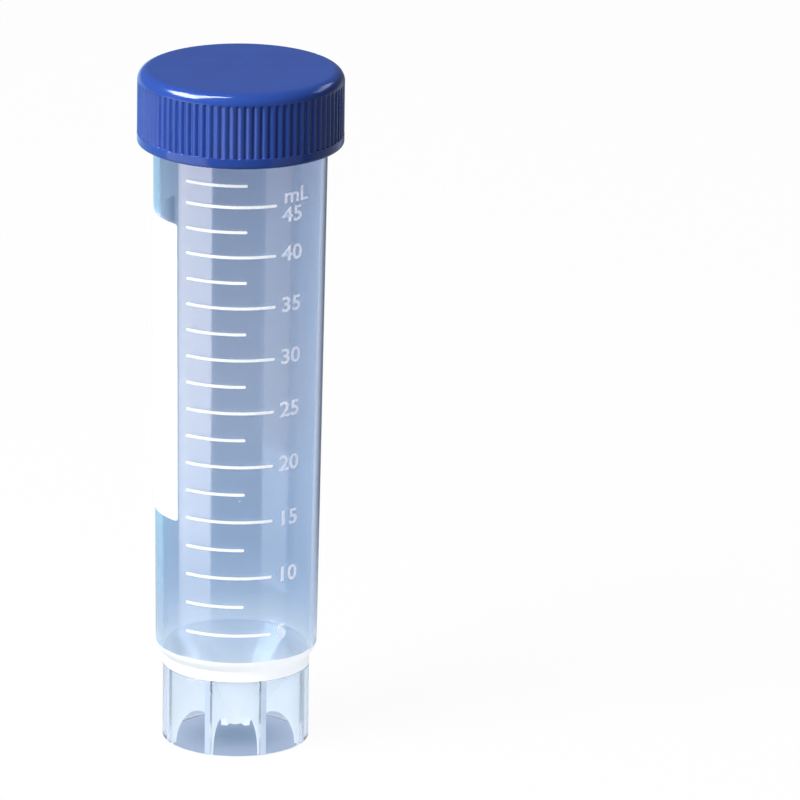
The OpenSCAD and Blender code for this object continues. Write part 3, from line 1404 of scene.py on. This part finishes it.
@dataclass(frozen=True)
class SoftBox:
    """A light box that shows in glossy surfaces, as a part of the world.

    Attributes:
        sides_deg: Azimuths of its two sides, from the camera's side towards +X.
        ends_deg: Elevations of its lower and upper edge.
        level: Brightness.
        tint: Colour of its light.
        soft_deg: Width of its soft edges.
    """

    sides_deg: tuple[float, float]
    ends_deg: tuple[float, float]
    level: float
    tint: Colour = (1.0, 1.0, 1.0)
    soft_deg: float = 3.0

    def glow(self, sheet: Sheet, azimuth: object, elevation: object) -> Socket:
        """Coloured light of the box.

        Args:
            sheet: The world's nodes.
            azimuth: Azimuth of a direction in degrees.
            elevation: Its elevation.

        Returns:
            The light that comes from there.
        """
        share = self.level
        half = self.soft_deg / 2
        for angle, (low, high) in ((azimuth, self.sides_deg), (elevation, self.ends_deg)):
            rise = sheet.spread(angle, low - half, low + half)
            fall = sheet.spread(angle, high - half, high + half, 1, 0)
            share = sheet.math("MULTIPLY", sheet.math("MULTIPLY", rise, fall), share)
        return sheet.scaled(self.tint, share)


@dataclass(frozen=True)
class Lamp:
    """A square soft lamp aimed at the object."""

    name: str
    azimuth_deg: float
    elevation_deg: float
    watts: float
    distance: float = 0.9
    size: float = 0.5
    colour: Colour = (1.0, 1.0, 1.0)

    def hang(self, target: Vector) -> Piece:
        """Places the lamp round the target and aims it.

        Args:
            target: Point that it lights.

        Returns:
            The lamp, linked to the scene and not seen itself.
        """
        light = bpy.data.lights.new(self.name, "AREA")
        light.energy = self.watts
        light.size = self.size
        light.color = self.colour
        lamp = placed(self.name, light)
        aim(lamp, target, direction(self.azimuth_deg, self.elevation_deg), self.distance)
        lamp.visible_camera = lamp.visible_glossy = lamp.visible_transmission = False
        return lamp


def aim(thing: Piece, target: Vector, away: Vector, distance: float) -> None:
    """Stands a lamp or a camera off from a target, and turns it to face it.

    Args:
        thing: The lamp or camera.
        target: Point that it faces.
        away: Unit vector from there to it.
        distance: Length of the way, in metres.
    """
    thing.location = target + away * distance
    thing.rotation_mode = "QUATERNION"
    thing.rotation_quaternion = away.to_track_quat("Z", "Y")


def direction(azimuth_deg: float, elevation_deg: float) -> Vector:
    """Turns two angles into a direction.

    Args:
        azimuth_deg: Angle from -Y towards +X.
        elevation_deg: Angle above the horizon.

    Returns:
        A unit vector.
    """
    azimuth, elevation = math.radians(azimuth_deg), math.radians(elevation_deg)
    flat = math.cos(elevation)
    return Vector((math.sin(azimuth) * flat, -math.cos(azimuth) * flat, math.sin(elevation)))


def linked(name: str, *assemblies: SubAssembly) -> bpy.types.Collection:
    """A collection for light linking, which stays outside the scene.

    Args:
        name: Its name.
        *assemblies: Sub-assemblies whose pieces it holds.

    Returns:
        The collection.
    """
    collection = bpy.data.collections.new(name)
    for assembly in assemblies:
        for piece in assembly.pieces.values():
            collection.objects.link(piece)
    return collection


@dataclass(frozen=True)
class FloorPaint(Finish):
    """White that keeps a faint shadow, with a painted slate-blue shadow under the foot, darker in the middle.
    """

    shade_r: float = 2.0
    foot_r: float = 11.8
    through_r: float = 23.0
    close_r: float = 38.0
    near_r: float = 55.0
    mirror_r: float = 130.0
    pale_r: float = 90.0
    white: Colour = (1.0, 1.0, 1.0)
    # painted shadow under the foot
    painted_foot_shadow: Colour = (0.38, 0.47, 0.67)
    # painted shadow, darker, in the middle of the foot
    deep: Colour = (0.145, 0.24, 0.385)
    mirrored: Colour = (0.74, 0.83, 0.95)
    far: Colour = (0.10, 0.11, 0.14)
    shadow_share: float = 0.04

    def shade(self, sheet: Sheet, principled: Node) -> None:
        """White to what looks at it straight, with a painted slate shadow under the foot.

        Seen through the plastic, the painted shadow reaches further out. Diffuse surfaces gather white from
        the floor close to the object, and less further out. What is reflected sees it near the object
        only, so that further out it meets the light boxes.

        Args:
            sheet: The material's nodes.
            principled: The shader that they start with, which isn't needed.
        """
        sheet.tree.nodes.remove(principled)
        split = sheet.add("SeparateXYZ", {"Vector": sheet.place()}).outputs
        out = sheet.math("SQRT", sheet.math("ADD", *(sheet.math("POWER", split[k], 2.0) for k in "XY")))
        out = sheet.math("DIVIDE", out, MM)
        through = sheet.add("LightPath").outputs["Is Transmission Ray"]
        edge = sheet.spread(through, 0, 1, self.foot_r, self.through_r)
        # painted shadow under the foot, darker towards the middle
        painted_shadow = sheet.blend(sheet.spread(out, self.shade_r, self.foot_r), self.deep, self.painted_foot_shadow)
        plain = sheet.blend(sheet.math("LESS_THAN", out, edge), self.white, painted_shadow)
        straight = self.partly(sheet, plain, plain, 1 - self.shadow_share)
        fade = sheet.spread(out, self.near_r, self.pale_r)
        close = sheet.spread(out, self.close_r, self.near_r, 1, 0)
        gathered = self.partly(sheet, sheet.blend(fade, self.white, self.far), self.white, close)
        clear = sheet.add("BsdfTransparent").outputs[0]
        beyond = sheet.spread(out, self.near_r, self.mirror_r)
        mirror = sheet.either(beyond, sheet.glow(self.mirrored), clear)
        direct = sheet.either(sheet.passed("Glossy"), straight, mirror)
        mixed = sheet.either(sheet.passed("Diffuse"), direct, gathered)
        sheet.give(sheet.tree.nodes["Material Output"].inputs["Surface"], mixed)

    @staticmethod
    def partly(sheet: Sheet, lit: object, even: object, share: object) -> Socket:
        """A lit colour mixed with an even glow of another, by the share of the glow."""
        diffuse = sheet.add("BsdfDiffuse", {"Color": lit}).outputs[0]
        return sheet.either(share, diffuse, sheet.glow(even))


@dataclass
class Floor:
    """A round floor."""

    radius: float = 3000.0
    sides: int = 96
    finish: FloorPaint = FloorPaint("floor_white")

    def lay(self) -> None:
        """Makes the floor and stages it."""
        side = np.arange(self.sides)
        ring = around_axis(side * 2 * np.pi / self.sides, self.radius, 0.0)
        floor = Surface(ring, (side[None, :],)).object("floor")
        self.finish.put_on(floor)


@dataclass
class Studio:
    """Floor, lamps, world and camera.

    Attributes:
        white: What looks straight at the world sees.
        dim: What diffuse surfaces gather from the far side of the brightest direction.
        bright: What they gather from the brightest direction.
        surround: What is reflected between the light boxes.
        through: What diffuse surfaces gather through the plastic.
        within: Added to reflections of light that has crossed more walls than within_times.
        facing_range: Cosines to the brightest direction at which the fill is dim and bright.
        turns_deg: Axes and angles of the camera's turns away from its target.
    """

    white: Colour = (1.0, 1.0, 1.0)
    dim: Colour = (0.03, 0.02, 0.025)
    bright: Colour = (0.80, 0.85, 0.86)
    bright_azimuth_deg: float = -60.0
    bright_elevation_deg: float = 32.0
    surround: Colour = (0.20, 0.23, 0.30)
    through: Colour = (2.7, 2.95, 3.35)
    within: Colour = (1.3, 1.3, 1.35)
    within_times: float = 4.5
    facing_range: tuple[float, float] = (0.25, 0.95)
    boxes: tuple[SoftBox, ...] = (
        SoftBox((-184.0, -90.0), (-95.0, 2.0), 0.85, (0.58, 0.96, 1.10)),
        SoftBox((-90.0, -38.0), (-95.0, 4.0), 5.2, (1.0, 0.94, 0.905)),
        SoftBox((-93.0, -58.0), (32.0, 84.0), 75.0),
        SoftBox((-109.0, -93.0), (38.0, 58.0), 75.0),
        SoftBox((35.0, 74.0), (-95.0, 0.0), 1.1, (1.0, 0.90, 0.80)),
        SoftBox((104.0, 145.0), (26.0, 38.0), 5.5),
        SoftBox((85.0, 152.0), (-95.0, 0.0), 0.8, (0.86, 0.94, 1.06), 14.0),
    )
    key_lamp: Lamp = Lamp("key_lamp", -55.0, 43.0, 8.7)
    tube_lamp: Lamp = Lamp("tube_lamp", 50.0, 6.0, 6.0, colour=(0.95, 0.97, 1.0))
    print_lamp: Lamp = Lamp("print_lamp", 148.0, 5.0, 14.0)
    distance: float = 2.0
    elevation_deg: float = 17.2
    target_z: float = 58.0
    lens: float = 533.7
    clip: tuple[float, float] = (0.05, 20.0)
    turns_deg: tuple[tuple[tuple[int, int, int], float], ...] = (
        ((0, 1, 0), -0.781),
        ((1, 0, 0), 0.0445),
        ((0, 0, 1), 0.5),
    )

    def light_world(self) -> None:
        """White straight on, light boxes in a dim surround for reflections, and a soft fill.

        What diffuse surfaces gather grows from dim to bright with the cosine of the angle to the
        brightest direction, and is white where it comes through the plastic. What has been thrown
        about inside the tube finds a pale surround.
        """
        world = bpy.data.worlds.new("studio")
        world.use_nodes = True
        world.cycles.sampling_method = "NONE"
        sheet = Sheet(world.node_tree)
        way = sheet.add("TexCoord").outputs["Generated"]
        split = sheet.add("SeparateXYZ", {"Vector": way}).outputs
        back = sheet.math("MULTIPLY", split["Y"], -1.0)
        azimuth = sheet.math("DEGREES", sheet.math("ARCTAN2", split["X"], back))
        elevation = sheet.math("DEGREES", sheet.math("ARCSINE", split["Z"]))
        mirrored = self.surround
        for box in self.boxes:
            mirrored = sheet.vector("ADD", box.glow(sheet, azimuth, elevation), mirrored)
        within = sheet.scaled(self.within, sheet.passed("Transmission", self.within_times))
        mirrored = sheet.vector("ADD", mirrored, within)
        toward = direction(self.bright_azimuth_deg, self.bright_elevation_deg)
        facing = sheet.add("VectorMath", {0: way, 1: toward}, operation="DOT_PRODUCT").outputs["Value"]
        fill = sheet.blend(sheet.spread(facing, *self.facing_range), self.dim, self.bright)
        fill = sheet.blend(sheet.passed("Transmission"), fill, self.through)
        straight = sheet.blend(sheet.passed("Glossy"), self.white, mirrored)
        colour = sheet.blend(sheet.passed("Diffuse"), straight, fill)
        sheet.give(world.node_tree.nodes["Background"].inputs["Color"], colour)
        bpy.context.scene.world = world

    def aim_camera(self) -> None:
        """A long lens a little above the object, turned slightly aside and rolled."""
        data = bpy.data.cameras.new("camera")
        data.lens = self.lens
        data.clip_start, data.clip_end = self.clip
        camera = placed("camera", data)
        aim(camera, self.target, direction(0.0, self.elevation_deg), self.distance)
        for axis, angle in self.turns_deg:
            camera.rotation_quaternion = camera.rotation_quaternion @ Quaternion(axis, math.radians(angle))
        bpy.context.scene.camera = camera

    @property
    def target(self) -> Vector:
        """Point on the axis that the lamps and the camera aim at."""
        return Vector((0, 0, self.target_z * MM))

    def light_tube(self, tube: SubAssembly, cap: SubAssembly, printing: SubAssembly) -> None:
        """Hangs the lamps that stand for the glow of the white surroundings on and in the tube.

        The first lights tube and print alone. The second lights the print's inner side through
        the clear wall, and only the cap stands in its way.

        Args:
            tube: The tube.
            cap: The cap.
            printing: The print.
        """
        both = linked("tube_lamp_receivers", tube, printing)
        self.tube_lamp.hang(self.target).light_linking.receiver_collection = both
        inner = self.print_lamp.hang(self.target).light_linking
        inner.receiver_collection = linked("print_lamp_receivers", printing)
        inner.blocker_collection = linked("print_lamp_blockers", cap)

    def make(self) -> None:
        """Sets the whole studio up."""
        Floor().lay()
        self.light_world()
        self.key_lamp.hang(self.target)
        self.aim_camera()
        bpy.context.scene.view_settings.view_transform = "Standard"


def main() -> None:
    """Builds the studio and every sub-assembly in order."""
    logging.basicConfig(level=logging.INFO, format="%(name)s: %(message)s")
    studio, tube, cap = Studio(), Tube(), Cap()
    printing = Printing(tube)
    studio.make()
    for assembly in (tube, cap, printing):
        assembly.make()
    studio.light_tube(tube, cap, printing)


if __name__ == "__main__":
    main()
